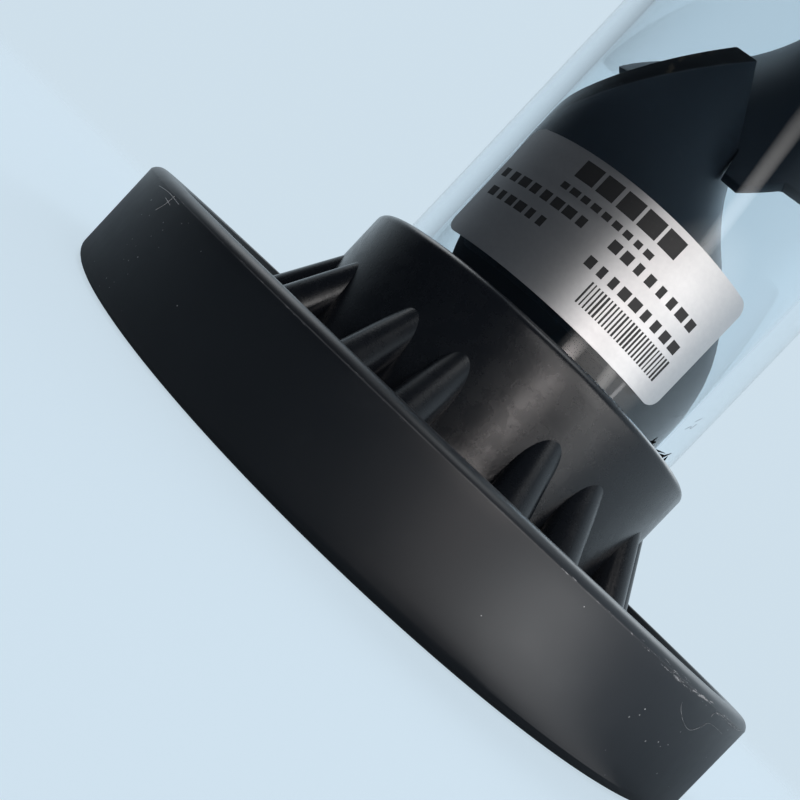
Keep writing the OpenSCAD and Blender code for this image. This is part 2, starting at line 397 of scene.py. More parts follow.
plateLook = {
    "dark": (0.0125, 0.0165, 0.0220, 1),
    "light": (0.0185, 0.0240, 0.0310, 1),
    "streak": (0.045, 0.049, 0.055, 1),
    "burr": (0.045, 0.050, 0.055, 1),
    "edgeDark": (0.0030, 0.0034, 0.0040, 1),
    "glue": (0.06, 0.045, 0.03, 1),
    "edgeFrom": 38.3 * mm,  # the sawn edge begins at this distance from the axis
    "edgeTo": 38.6 * mm,
    "burrWidth": 0.25 * mm,
    "cloudScale": 22,
    "streakScale": (60, 60, 700),
    "burrScale": 260,
    "glueScale": 170,
    "sawScale": 420,
    "swellScale": 30,
    "relief": 0.08 * mm,
    "specular": 0.2,
}


def makePlatePlastic():
    look = plateLook
    material, tree, shader, place = newMaterial("platePlastic")
    cloud = noise(tree, place, look["cloudScale"], 5, 0.6)
    base = blendColour(tree, fade(tree, cloud, 0.3, 0.7), look["dark"], look["light"])
    streak = noise(tree, rescale(tree, place, look["streakScale"]), 1.0, 4, 0.7)
    colour = blendColour(tree, fade(tree, streak, 0.66, 0.78, 0.0, 0.3), base, look["streak"])
    # long edges next to the wall: near black, rougher, with sawn relief and some brown glue
    radius = fromAxis(tree, place)
    atEdge = fade(tree, radius, look["edgeFrom"], look["edgeTo"])
    nearEdge = fade(tree, radius, look["edgeFrom"] - look["burrWidth"], look["edgeFrom"])
    burr = fade(tree, noise(tree, place, look["burrScale"], 4, 0.7), 0.4, 0.62, 0.1, 0.6)
    colour = blendColour(tree, calc(tree, "MULTIPLY", nearEdge, burr), colour, look["burr"])
    colour = blendColour(tree, atEdge, colour, look["edgeDark"])
    glue = fade(tree, noise(tree, place, look["glueScale"], 4, 0.7), 0.58, 0.7, 0.0, 0.7)
    colour = blendColour(tree, calc(tree, "MULTIPLY", atEdge, glue), colour, look["glue"])
    tree.links.new(colour, shader.inputs["Base Color"])
    rough = calc(tree, "MULTIPLY_ADD", cloud, 0.2, 0.42)
    tree.links.new(calc(tree, "MULTIPLY_ADD", atEdge, 0.3, rough), shader.inputs["Roughness"])
    relief = calc(tree, "MULTIPLY", noise(tree, place, look["sawScale"], 4, 0.65), atEdge)
    relief = calc(tree, "MULTIPLY_ADD", noise(tree, place, look["swellScale"], 3, 0.5), 1.5, relief)
    bump(tree, shader, relief, 0.35, look["relief"])
    shader.inputs["Specular IOR Level"].default_value = look["specular"]
    return material


pipeLook = {
    "tinted": (0.890, 0.950, 0.982, 1),
    "clear": (0.910, 0.960, 0.988, 1),
    "lampTint": (0.86, 0.92, 0.96, 1),  # for light that passes straight through
    "tintScale": 12,
    "lineScale": (260, 260, 3),
    "relief": 0.05 * mm,
    "ior": 1.53,
}


def makeClearPlastic():
    look = pipeLook
    material, tree, shader, place = newMaterial("clearPlastic")
    shader.inputs["Transmission Weight"].default_value = 1.0
    shader.inputs["IOR"].default_value = look["ior"]
    shader.inputs["Roughness"].default_value = 0.0
    tint = fade(tree, noise(tree, place, look["tintScale"], 3), 0.3, 0.7)
    tree.links.new(blendColour(tree, tint, look["tinted"], look["clear"]), shader.inputs["Base Color"])
    # faint lines from drawing the pipe
    lines = noise(tree, rescale(tree, place, look["lineScale"]), 1.0, 3)
    bump(tree, shader, lines, 0.06, look["relief"])
    # light and reflections of the other pieces pass straight through the wall
    path = addNode(tree, "ShaderNodeLightPath").outputs
    through = addNode(tree, "ShaderNodeBsdfTransparent", {"Color": look["lampTint"]}).outputs[0]
    lit = calc(tree, "MAXIMUM", path["Is Shadow Ray"], path["Is Diffuse Ray"])
    dull = calc(tree, "SUBTRACT", path["Is Reflection Ray"], path["Is Singular Ray"])
    lit = calc(tree, "MAXIMUM", lit, dull)
    mixed = addNode(tree, "ShaderNodeMixShader", {0: lit, 1: shader.outputs[0], 2: through}).outputs[0]
    tree.links.new(mixed, tree.nodes["Material Output"].inputs["Surface"])
    return material


labelLook = {
    "dull": (0.55, 0.55, 0.558, 1),
    "bright": (0.575, 0.575, 0.58, 1),
    "brushScale": (30, 30, 900),
    "mottleScale": 900,
    "relief": 0.02 * mm,
    "metallic": 0.94,
}


def makeLabelFoil():
    look = labelLook
    material, tree, shader, place = newMaterial("labelFoil")
    lines = noise(tree, rescale(tree, place, look["brushScale"]), 1.0, 4, 0.6)
    mottle = noise(tree, place, look["mottleScale"], 4, 0.6)
    base = blendColour(tree, fade(tree, mottle, 0.35, 0.7), look["dull"], look["bright"])
    tree.links.new(base, shader.inputs["Base Color"])
    tree.links.new(calc(tree, "MULTIPLY_ADD", lines, 0.12, 0.31), shader.inputs["Roughness"])
    bump(tree, shader, calc(tree, "ADD", lines, mottle), 0.03, look["relief"])
    shader.inputs["Metallic"].default_value = look["metallic"]
    return material


inkLook = {
    "fresh": (0.012, 0.012, 0.013, 1),
    "worn": (0.06, 0.06, 0.062, 1),
    "wearScale": 900,
    "rough": 0.45,
}


def makeLabelInk():
    look = inkLook
    material, tree, shader, place = newMaterial("labelInk")
    wear = fade(tree, noise(tree, place, look["wearScale"], 4, 0.7), 0.55, 0.8, 0.0, 0.3)
    tree.links.new(blendColour(tree, wear, look["fresh"], look["worn"]), shader.inputs["Base Color"])
    shader.inputs["Roughness"].default_value = look["rough"]
    return material


cementLook = {
    "dark": (0.006, 0.0065, 0.008, 1),
    "light": (0.03, 0.032, 0.036, 1),
    "lumpScale": 500,
    "relief": 0.05 * mm,
    "specular": 0.25,
}


def makeCement():
    look = cementLook
    material, tree, shader, place = newMaterial("pipeCement")
    lump = noise(tree, place, look["lumpScale"], 4, 0.6)
    colour = blendColour(tree, fade(tree, lump, 0.4, 0.75), look["dark"], look["light"])
    tree.links.new(colour, shader.inputs["Base Color"])
    tree.links.new(calc(tree, "MULTIPLY_ADD", lump, 0.3, 0.3), shader.inputs["Roughness"])
    bump(tree, shader, lump, 0.15, look["relief"])
    shader.inputs["Specular IOR Level"].default_value = look["specular"]
    return material


scratchLook = {
    "dark": (0.06, 0.063, 0.07, 1),
    "light": (0.26, 0.265, 0.275, 1),
    "glintWhite": (0.72, 0.72, 0.73, 1),
    "glintTo": -30 * mm,  # painted highlight: white as far right as this, and fading out to the middle
    "patchScale": 700,
    "rough": 0.55,
}


def makeScratch():
    look = scratchLook
    material, tree, shader, place = newMaterial("paleScratch")
    patchy = fade(tree, noise(tree, place, look["patchScale"], 3, 0.6), 0.35, 0.65)
    colour = blendColour(tree, patchy, look["dark"], look["light"])
    # painted highlight: whiter on the left, where the rim lies in shade
    shadedLeft = fade(tree, split(tree, place)[0], look["glintTo"], 0.0, 1.0, 0.0)
    tree.links.new(blendColour(tree, shadedLeft, colour, look["glintWhite"]), shader.inputs["Base Color"])
    shader.inputs["Roughness"].default_value = look["rough"]
    return material


chipLook = {
    "dark": (0.30, 0.31, 0.32, 1),
    "light": (0.62, 0.62, 0.61, 1),
    "patchScale": 1500,
    "rough": 0.4,
}


def makeChip():
    look = chipLook
    material, tree, shader, place = newMaterial("paleChip")
    patchy = fade(tree, noise(tree, place, look["patchScale"], 3, 0.6), 0.35, 0.65)
    tree.links.new(blendColour(tree, patchy, look["dark"], look["light"]), shader.inputs["Base Color"])
    shader.inputs["Roughness"].default_value = look["rough"]
    return material


flangePlastic = makeFlangePlastic()
platePlastic = makePlatePlastic()
clearPlastic = makeClearPlastic()
labelFoil = makeLabelFoil()
labelInk = makeLabelInk()
pipeCement = makeCement()
paleScratch = makeScratch()
paleChip = makeChip()
print("finishes made")


# flanges

flangeForm = {
    "segments": 256,
    "longest": 2.4 * mm,  # longest stretch of the outline
    "frontRound": 2.5 * mm,
    "ridgeRound": 0.2 * mm,
    "rimHeight": 25 * mm,
    "shoulderWidth": 2.6 * mm,  # arc from the ridge up to the flat lip
    "shoulderSteps": 9,
    "lipWidth": 4.4 * mm,
    "lipRound": 0.45 * mm,
    "recessFloor": 22 * mm,
    "recessRound": 0.8 * mm,
    "hubRadius": 51.6 * mm,
    "hubRound": 2 * mm,
    "rootRound": 2 * mm,
    "socketGap": 0.1 * mm,
    "stopHeight": 6 * mm,
    "flowRadius": 37 * mm,
    "mouthChamfer": 1.5 * mm,
    "grooveRadii": (49 * mm, 53 * mm, 57 * mm),
    "grooveHalf": 0.75 * mm,
    "grooveDepth": 0.8 * mm,
    "coreRadius": 25 * mm,  # inner wall before the socket is cut
    "cutOver": 2 * mm,
    "ribSpread": math.radians(16.5),
    "ribTip": 3.8 * mm,
    "ribFoot": 5.4 * mm,
    "ribLean": math.radians(26),
    "ribTop": 39 * mm,
    "ribBury": 3.5 * mm,
    "footBury": 0.5 * mm,
    "ribSides": 72,
    "holeSides": 64,
}


def flangeOutline():
    form = flangeForm
    lip = flangeRadius - form["shoulderWidth"]
    rise = form["rimHeight"] - ridgeHeight
    arc = (form["shoulderWidth"] ** 2 + rise ** 2) / (2 * rise)
    sweep = math.asin(form["shoulderWidth"] / arc)
    corners = [(form["coreRadius"], 0, 0)]
    for radius in form["grooveRadii"]:
        corners.append((radius - form["grooveHalf"], 0, 0))
        corners.append((radius, form["grooveDepth"], 0))
        corners.append((radius + form["grooveHalf"], 0, 0))
    corners += [
        (flangeRadius, 0, form["frontRound"]),
        (flangeRadius, ridgeHeight, form["ridgeRound"]),
    ]
    for k in range(1, form["shoulderSteps"] + 1):
        lean = sweep * (1 - k / form["shoulderSteps"])
        corners.append((lip + arc * math.sin(lean), form["rimHeight"] - arc * (1 - math.cos(lean)), 0))
    corners += [
        (lip - form["lipWidth"], form["rimHeight"], form["lipRound"]),
        (lip - form["lipWidth"], form["recessFloor"], form["recessRound"]),
        (form["hubRadius"], form["recessFloor"], form["rootRound"]),
        (form["hubRadius"], hubTop, form["hubRound"]),
        (form["coreRadius"], hubTop, 0),
    ]
    return splitLong(roundCorners(corners), form["longest"])


def socketOutline():
    form = flangeForm
    socket = pipeRadius + form["socketGap"]
    inner = form["coreRadius"] - form["cutOver"]
    over = form["cutOver"]
    corners = [
        (inner, -over, 0),
        (form["flowRadius"], -over, 0),
        (form["flowRadius"], form["stopHeight"], 0),
        (socket, form["stopHeight"], 0),
        (socket, hubTop - form["mouthChamfer"], 0),
        (socket + form["mouthChamfer"] + over, hubTop + over, 0),
        (inner, hubTop + over, 0),
    ]
    return splitLong(roundCorners(corners), form["longest"])


def makeFlangeTree(socketCutter):
    inputs = {
        "Bolt Count": "Int", "Bolt Radius": "Float", "Hole Radius": "Float", "Hole Height": "Float",
        "Rib Spread": "Float", "Rib Foot": "Float", "Rib Tip": "Float", "Rib Length": "Float",
        "Rib Lean": "Float", "Rib Distance": "Float", "Rib Height": "Float",
    }
    tree, given = newTree("ribbedFlange", inputs)
    index = addNode(tree, "GeometryNodeInputIndex").outputs[0]
    pitch = calc(tree, "DIVIDE", 2 * math.pi, given["Bolt Count"])

    def ring(count, shape, angle):
        turn = addNode(tree, "FunctionNodeEulerToRotation", {0: vector(tree, z=angle)}).outputs[0]
        points = addNode(tree, "GeometryNodePoints", {"Count": count}).outputs[0]
        placed = addNode(tree, "GeometryNodeInstanceOnPoints", {
            "Points": points, "Instance": shape, "Rotation": turn,
        }).outputs[0]
        return addNode(tree, "GeometryNodeRealizeInstances", {0: placed}).outputs[0]

    # ribs lean on the hub in pairs, one pair between each two holes
    cone = addNode(tree, "GeometryNodeMeshCone", {
        "Vertices": flangeForm["ribSides"], "Radius Top": given["Rib Tip"],
        "Radius Bottom": given["Rib Foot"], "Depth": given["Rib Length"],
    }).outputs["Mesh"]
    tilt = vector(tree, y=calc(tree, "MULTIPLY", given["Rib Lean"], -1.0))
    foot = vector(tree, x=given["Rib Distance"], z=given["Rib Height"])
    rib = addNode(tree, "GeometryNodeTransform", {
        0: cone, "Translation": foot, "Rotation": tilt,
    }).outputs[0]
    pair = calc(tree, "FLOOR", calc(tree, "DIVIDE", index, 2.0))
    side = calc(tree, "SUBTRACT", calc(tree, "MODULO", index, 2.0), 0.5)
    pairAngle = calc(tree, "MULTIPLY_ADD", calc(tree, "ADD", pair, 0.5), pitch, -math.pi / 2)
    ribAngle = calc(tree, "MULTIPLY_ADD", side, given["Rib Spread"], pairAngle)
    ribs = ring(calc(tree, "MULTIPLY", given["Bolt Count"], 2.0), rib, ribAngle)
    # bolt holes
    drill = addNode(tree, "GeometryNodeMeshCylinder", {
        "Vertices": flangeForm["holeSides"], "Radius": given["Hole Radius"], "Depth": given["Hole Height"],
    }).outputs["Mesh"]
    out = vector(tree, x=given["Bolt Radius"])
    drill = addNode(tree, "GeometryNodeTransform", {0: drill, "Translation": out}).outputs[0]
    holes = ring(given["Bolt Count"], drill, calc(tree, "MULTIPLY_ADD", index, pitch, -math.pi / 2))
    # join, then cut
    whole = addNode(tree, "GeometryNodeMeshBoolean", operation="UNION", solver="MANIFOLD")
    for part in (given["Geometry"], ribs):
        tree.links.new(part, whole.inputs[1])
    socket = addNode(tree, "GeometryNodeObjectInfo", {"Object": socketCutter}).outputs["Geometry"]
    cut = addNode(tree, "GeometryNodeMeshBoolean", operation="DIFFERENCE", solver="MANIFOLD")
    tree.links.new(whole.outputs[0], cut.inputs[0])
    for part in (holes, socket):
        tree.links.new(part, cut.inputs[1])
    closeTree(tree, cut.outputs[0], flangePlastic)
    return tree


def makeFlanges():
    form = flangeForm
    cutter = addPiece("socketCutter", spin(socketOutline(), form["segments"]))
    tree = makeFlangeTree(cutter)
    lower = addPiece("lowerFlange", spin(flangeOutline(), form["segments"]))
    lean = form["ribLean"]
    footHeight = form["recessFloor"] - form["ribFoot"] * math.sin(lean) - form["footBury"]
    crossHeight = form["ribTop"] - form["ribTip"] * math.sin(lean)
    run = (crossHeight - footHeight) / math.cos(lean)
    runTree(lower, tree, {
        "Bolt Count": boltDims["count"],
        "Bolt Radius": boltDims["pcd_mm"] / 2 * mm,
        "Hole Radius": boltDims["hole_r_mm"] * mm,
        "Hole Height": 2 * (form["rimHeight"] + form["cutOver"]),
        "Rib Spread": form["ribSpread"],
        "Rib Foot": form["ribFoot"],
        "Rib Tip": form["ribTip"],
        "Rib Length": run + form["ribBury"],
        "Rib Lean": lean,
        "Rib Distance": form["hubRadius"] - form["ribTip"] * math.cos(lean) + run * math.sin(lean),
        "Rib Height": footHeight,
    })
    bpy.data.objects.remove(cutter)
    weld(lower)
    # the upper flange is the same moulding turned over
    upper = lower.copy()
    upper.name = "upperFlange"
    upper.data = lower.data.copy()
    upper.data.transform(Matrix.Translation((0, 0, totalHeight)) @ Matrix.Diagonal((1, 1, -1, 1)))
    upper.data.flip_normals()
    bpy.context.scene.collection.objects.link(upper)
    for piece, node in ((lower, "lower_flange"), (upper, "upper_flange")):
        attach(piece, "root")
        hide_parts(node)
    print("flanges made,", len(lower.data.polygons), "faces each")


makeFlanges()


# clear pipe

pipeForm = {"wall": 5.5 * mm, "endRound": 0.4 * mm, "segments": 256, "longest": 12 * mm}


def makePipe():
    bore = pipeRadius - pipeForm["wall"]
    edge = pipeForm["endRound"]
    corners = [
        (bore, pipeLow.z, edge),
        (pipeRadius, pipeLow.z, edge),
        (pipeRadius, pipeHigh.z, edge),
        (bore, pipeHigh.z, edge),
    ]
    outline = splitLong(roundCorners(corners), pipeForm["longest"])
    pipe = sharpen(addPiece("clearPipe", spin(outline, pipeForm["segments"]), clearPlastic))
    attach(pipe, "root")
    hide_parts("clear_pipe")
    print("pipe made")


makePipe()


# twisted plates

plateForm = {
    "length": 120 * mm,
    "twist": math.radians(180),
    "thickness": 5.2 * mm,
    "wallGap": 0.3 * mm,
    "firstAngle": math.radians(71),
    "forkLength": 6.4 * mm,
    "forkTip": 9 * mm,
    "forkRoot": 17 * mm,
    "forkGap": 0.15 * mm,
    "edgeRound": 0.35 * mm,
    "roundedFrom": math.radians(40),  # edges that bend more than this are rounded
    "sharpAngle": math.radians(50),
    "rowStep": 1.6 * mm,
    "columnStep": 3.5 * mm,
}


def flatPlate(forked):
    form = plateForm
    half = form["thickness"] / 2
    width = math.sqrt((pipeRadius - pipeForm["wall"] - form["wallGap"]) ** 2 - half ** 2)
    turn = 2 * form["twist"] / form["length"] * form["forkLength"]
    slotRoot = half + form["forkGap"]
    slotTip = half * (1 + math.sin(turn)) / math.cos(turn) + form["forkGap"]
    work = bmesh.new()
    foot = [-width, width]
    if forked:
        foot = [-width, -form["forkRoot"], -slotRoot, slotRoot, form["forkRoot"], width]
    low = [work.verts.new((x, 0, 0)) for x in foot]
    high = [work.verts.new((x, 0, form["length"])) for x in (width, -width)]
    work.faces.new(low + high)
    if forked:
        for side, outer, inner in ((-1, low[1], low[2]), (1, low[4], low[3])):
            tip = work.verts.new((side * form["forkTip"], 0, -form["forkLength"]))
            notch = work.verts.new((side * slotTip, 0, -form["forkLength"]))
            work.faces.new((outer, tip, notch, inner))
    cutAcross(work, 2, spread(-form["forkLength"], form["length"], form["rowStep"])[1:-1])
    cutAcross(work, 0, spread(-width, width, form["columnStep"])[1:-1])
    thicken(work, form["thickness"])
    bmesh.ops.recalc_face_normals(work, faces=work.faces)
    corners = [e for e in work.edges if e.calc_face_angle(0) > form["roundedFrom"]]
    bmesh.ops.bevel(work, geom=corners, offset=form["edgeRound"], segments=2, profile=0.5, affect="EDGES")
    return work


def makeTwistTree():
    inputs = {"Turn Per Metre": "Float", "Start Angle": "Float", "Base Height": "Float"}
    tree, given = newTree("twistPlate", inputs)
    place = addNode(tree, "GeometryNodeInputPosition").outputs[0]
    height = split(tree, place)[2]
    angle = calc(tree, "MULTIPLY_ADD", height, given["Turn Per Metre"], given["Start Angle"])
    turned = addNode(tree, "ShaderNodeVectorRotate", {
        "Vector": place, "Angle": angle,
    }, rotation_type="Z_AXIS").outputs[0]
    moved = addNode(tree, "GeometryNodeSetPosition", {
        "Geometry": given["Geometry"], "Position": turned, "Offset": vector(tree, z=given["Base Height"]),
    }).outputs[0]
    closeTree(tree, moved, platePlastic, plateForm["sharpAngle"])
    return tree


def makePlates():
    form = plateForm
    tree = makeTwistTree()
    names = sorted(n for n in frame["nodes"] if n.startswith("mixing_element_"))
    angle = form["firstAngle"]
    for i, node in enumerate(names):
        hand = 1 if i % 2 == 0 else -1
        plate = addPiece("mixingPlate" + str(i + 1), flatPlate(i > 0))
        runTree(plate, tree, {
            "Turn Per Metre": hand * form["twist"] / form["length"],
            "Start Angle": angle,
            "Base Height": pipeLow.z + i * form["length"],
        })
        weld(plate, form["sharpAngle"])
        angle += hand * form["twist"] + math.pi / 2
        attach(plate, "root")
        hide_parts(node)
    print("twisted plates made,", len(names))


makePlates()


# label and its print

labelForm = {
    "middle": math.radians(-100),
    "length": 66 * mm,
    "glue": 0.05 * mm,
    "thickness": 0.2 * mm,
    "corner": 3 * mm,
    "step": 1.2 * mm,
    "inkDepth": 0.02 * mm,
    "markWidths": (0.62, 1.12),  # narrowest and widest mark, as shares of the filled pitch
    "markCuts": 6,  # corners along a mark, so that it bends
}
# rows of plain marks, in millimetres: foot above the label's lower edge, start and end from its
# middle, height of the marks, how many, and the share of the pitch that they fill
printRows = [
    {"foot": 26.2, "start": -15.5, "end": 13.0, "height": 4.4, "marks": 5, "fill": 0.82, "seed": 3},
    {"foot": 21.3, "start": -16.5, "end": 9.5, "height": 1.5, "marks": 9, "fill": 0.72, "seed": 5},
    {"foot": 17.3, "start": -32.0, "end": -5.0, "height": 2.3, "marks": 8, "fill": 0.74, "seed": 8},
    {"foot": 12.3, "start": -30.8, "end": -12.0, "height": 2.3, "marks": 6, "fill": 0.74, "seed": 13},
    {"foot": 17.8, "start": 0.5, "end": 27.0, "height": 2.4, "marks": 8, "fill": 0.72, "seed": 21},
    {"foot": 12.2, "start": -1.0, "end": 27.6, "height": 2.4, "marks": 9, "fill": 0.74, "seed": 34},
]
barStrip = {"foot": 6.9, "start": 3.4, "end": 28.2, "height": 5.4, "marks": 27, "fill": 0.56, "seed": 55}


def atAngle(tree, away, angle, height):
    # the place at a distance from the axis, an angle round it and a height
    x = calc(tree, "MULTIPLY", away, calc(tree, "COSINE", angle))
    y = calc(tree, "MULTIPLY", away, calc(tree, "SINE", angle))
    return vector(tree, x, y, height)


def wrap(tree, geometry, radius, middle):
    # flat (along, out, up) to the pipe's round surface
    place = addNode(tree, "GeometryNodeInputPosition").outputs[0]
    flat = split(tree, place)
    angle = calc(tree, "ADD", calc(tree, "DIVIDE", flat[0], radius), middle)
    bent = atAngle(tree, calc(tree, "ADD", flat[1], radius), angle, flat[2])
    moved = addNode(tree, "GeometryNodeSetPosition", {"Geometry": geometry, "Position": bent}).outputs[0]
    return addNode(tree, "GeometryNodeFlipFaces", {0: moved}).outputs[0]


def makeWrapTree():
    tree, given = newTree("wrapSheet", {"Radius": "Float", "Middle Angle": "Float"})
    closeTree(tree, wrap(tree, given["Geometry"], given["Radius"], given["Middle Angle"]), labelFoil)
    return tree


def makePrintTree():
    # a row of bars of uneven width, bent round the pipe
    inputs = {
        "Marks": "Int", "Start": "Float", "Pitch": "Float", "Height": "Float", "Level": "Float",
        "Fill": "Float", "Depth": "Float", "Seed": "Int", "Radius": "Float", "Middle Angle": "Float",
    }
    tree, given = newTree("printRow", inputs)
    line = addNode(tree, "GeometryNodeMeshLine", {
        "Count": given["Marks"], "Offset": vector(tree, x=given["Pitch"]),
        "Start Location": vector(tree, x=given["Start"], z=given["Level"]),
    }).outputs[0]
    bar = addNode(tree, "GeometryNodeMeshCube", {"Vertices X": labelForm["markCuts"]}).outputs["Mesh"]
    narrowest, widest = labelForm["markWidths"]
    uneven = addNode(tree, "FunctionNodeRandomValue", {
        2: narrowest, 3: widest, "Seed": given["Seed"],
    }, data_type="FLOAT").outputs[1]
    width = calc(tree, "MULTIPLY", calc(tree, "MULTIPLY", given["Pitch"], given["Fill"]), uneven)
    bars = addNode(tree, "GeometryNodeInstanceOnPoints", {
        "Points": line, "Instance": bar, "Scale": vector(tree, width, given["Depth"], given["Height"]),
    }).outputs[0]
    real = addNode(tree, "GeometryNodeRealizeInstances", {0: bars}).outputs[0]
    closeTree(tree, wrap(tree, real, given["Radius"], given["Middle Angle"]), labelInk)
    return tree


def makeLabel():
    form = labelForm
    half = form["length"] / 2
    inner = pipeRadius + form["glue"]
    corner = form["corner"]
    corners = [
        (-half, labelLow.z, corner),
        (half, labelLow.z, corner),
        (half, labelHigh.z, corner),
        (-half, labelHigh.z, corner),
    ]
    work = bmesh.new()
    work.faces.new([work.verts.new((p.x, 0, p.y)) for p in roundCorners(corners)])
    cutAcross(work, 0, spread(-half, half, form["step"])[1:-1])
    thicken(work, form["thickness"])
    label = addPiece("ratingLabel", work)
    middleRadius = inner + form["thickness"] / 2
    runTree(label, makeWrapTree(), {"Radius": middleRadius, "Middle Angle": form["middle"]})
    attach(label, "root")
    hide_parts("rating_label")
    printTree = makePrintTree()
    for number, row in enumerate(printRows + [barStrip]):
        pitch = (row["end"] - row["start"]) * mm / row["marks"]
        marks = addPiece("labelPrint" + str(number + 1), bmesh.new())
        runTree(marks, printTree, {
            "Marks": row["marks"],
            "Start": row["start"] * mm + pitch / 2,
            "Pitch": pitch,
            "Height": row["height"] * mm,
            "Level": labelLow.z + row["foot"] * mm,
            "Fill": row["fill"],
            "Depth": form["inkDepth"],
            "Seed": row["seed"],
            "Radius": inner + form["thickness"],
            "Middle Angle": form["middle"],
        })
        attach(marks, "root")
    print("label and print made")


makeLabel()


# cement in the sockets

cementForm = {
    "pipeBite": 0.12 * mm,  # the film reaches this far into the pipe, and into the socket
    "socketBite": 0.03 * mm,
    "footGap": 1 * mm,  # from the pipe stop to the film
    "segments": 192,
    "beadRadius": 0.6 * mm,
    "beadSides": 10,
    "beadLift": 0.05 * mm,  # above the hub mouth
    "beadOut": 0.45 * mm,
    "unevenness": 1.35,
    "grain": 160.0,
    "sharpAngle": math.radians(80),
}


def makeBeadTree():
    inputs = dict.fromkeys(("Radius", "Height", "Thickness", "Unevenness", "Grain"), "Float")
    tree, given = newTree("cementBead", inputs)
    circle = addNode(tree, "GeometryNodeCurvePrimitiveCircle", {
        "Resolution": cementForm["segments"], "Radius": given["Radius"],
    }).outputs["Curve"]
    place = addNode(tree, "GeometryNodeInputPosition").outputs[0]
    lump = calc(tree, "SUBTRACT", noise(tree, place, given["Grain"], 3.0, 0.5), 0.5)
    lifted = addNode(tree, "GeometryNodeSetPosition", {
        "Geometry": circle, "Offset": vector(tree, z=given["Height"]),
    }).outputs[0]
    profile = addNode(tree, "GeometryNodeCurvePrimitiveCircle", {
        "Resolution": cementForm["beadSides"], "Radius": given["Thickness"],
    }).outputs["Curve"]
    scale = calc(tree, "MULTIPLY_ADD", lump, given["Unevenness"], 1.0)
    bead = addNode(tree, "GeometryNodeCurveToMesh", {
        "Curve": lifted, "Profile Curve": profile, "Scale": scale,
    }).outputs[0]
    closeTree(tree, bead, pipeCement, cementForm["sharpAngle"])
    return tree


def makeCementRings():
    form = cementForm
    tree = makeBeadTree()
    stop = flangeForm["stopHeight"]
    inside = pipeRadius - form["pipeBite"]
    outside = pipeRadius + flangeForm["socketGap"] + form["socketBite"]
    ends = (("lower", stop, hubTop, 1), ("upper", totalHeight - stop, totalHeight - hubTop, -1))
    for name, foot, mouth, up in ends:
        top = mouth + up * form["beadLift"]
        low, high = sorted((foot + up * form["footGap"], top))
        outline = [Vector(p) for p in ((inside, low), (outside, low), (outside, high), (inside, high))]
        film = sharpen(addPiece(name + "CementFilm", spin(outline, form["segments"]), pipeCement))
        bead = addPiece(name + "CementBead", bmesh.new())
        runTree(bead, tree, {
            "Radius": pipeRadius + form["beadOut"],
            "Height": top,
            "Thickness": form["beadRadius"],
            "Unevenness": form["unevenness"],
            "Grain": form["grain"],
        })
        for piece in (film, bead):
            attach(piece, "root")
    print("cement made")


makeCementRings()


# slivers of cement left standing at one side of the lower mouth

sliverForm = {
    "count": 9,
    "arcFrom": math.radians(-54),
    "arcTo": math.radians(-41),
    "radius": 46.6 * mm,
    "spread": 1.0 * mm,
    "lift": 0.55 * mm,
    "length": 2.6 * mm,
    "thickness": 0.34 * mm,
    "sides": 5,
    "tipShare": 0.15,  # thickness left at the tip
    "sway": 0.7,  # radians to either side
    "lean": (0.3, 1.5),  # radians outwards, least and most
    "shrink": (0.4, 1.0),
    "seed": 4,
}
chipForm = {
    "angle": math.radians(-50.5),
    "radius": 47.2 * mm,
    "lift": 0.45 * mm,
    "size": (1.1 * mm, 0.35 * mm, 0.7 * mm),
    "bevel": 0.1 * mm,
    "tilt": 0.5,  # radians
}


def makeSliverTree():
    inputs = {
        "Count": "Int", "Arc From": "Float", "Arc To": "Float", "Radius": "Float", "Spread": "Float",
        "Height": "Float", "Length": "Float", "Thickness": "Float", "Seed": "Int",
    }
    form = sliverForm
    tree, given = newTree("cementSlivers", inputs)

    def chance(step, low, high):
        seed = calc(tree, "ADD", given["Seed"], step)
        return addNode(tree, "FunctionNodeRandomValue", {
            2: low, 3: high, "Seed": seed,
        }, data_type="FLOAT").outputs[1]

    angle = chance(0.0, given["Arc From"], given["Arc To"])
    out = calc(tree, "MULTIPLY_ADD", chance(1.0, -1.0, 1.0), given["Spread"], given["Radius"])
    points = addNode(tree, "GeometryNodePoints", {
        "Count": given["Count"], "Position": atAngle(tree, out, angle, given["Height"]),
    }).outputs[0]
    flake = addNode(tree, "GeometryNodeMeshCone", {
        "Vertices": form["sides"], "Radius Bottom": given["Thickness"], "Depth": given["Length"],
        "Radius Top": calc(tree, "MULTIPLY", given["Thickness"], form["tipShare"]),
    }).outputs["Mesh"]
    lean = vector(tree, chance(2.0, -form["sway"], form["sway"]), chance(3.0, *form["lean"]), angle)
    turn = addNode(tree, "FunctionNodeEulerToRotation", {0: lean}).outputs[0]
    scale = vector(tree, 1.0, chance(4.0, *form["shrink"]), chance(5.0, *form["shrink"]))
    placed = addNode(tree, "GeometryNodeInstanceOnPoints", {
        "Points": points, "Instance": flake, "Rotation": turn, "Scale": scale,
    }).outputs[0]
    closeTree(tree, placed, pipeCement)
    return tree


def chipBlock():
    form = chipForm
    work = bmesh.new()
    bmesh.ops.create_cube(work, size=1)
    bmesh.ops.scale(work, verts=work.verts, vec=form["size"])
    bmesh.ops.bevel(work, geom=work.edges[:], offset=form["bevel"], segments=2, profile=0.5, affect="EDGES")
    turn = Matrix.Rotation(form["angle"], 3, "Z") @ Matrix.Rotation(form["tilt"], 3, "Y")
    bmesh.ops.rotate(work, verts=work.verts, matrix=turn)
    spot = Vector((math.cos(form["angle"]), math.sin(form["angle"]), 0)) * form["radius"]
    bmesh.ops.translate(work, verts=work.verts, vec=spot + Vector((0, 0, hubTop + form["lift"])))
    return work


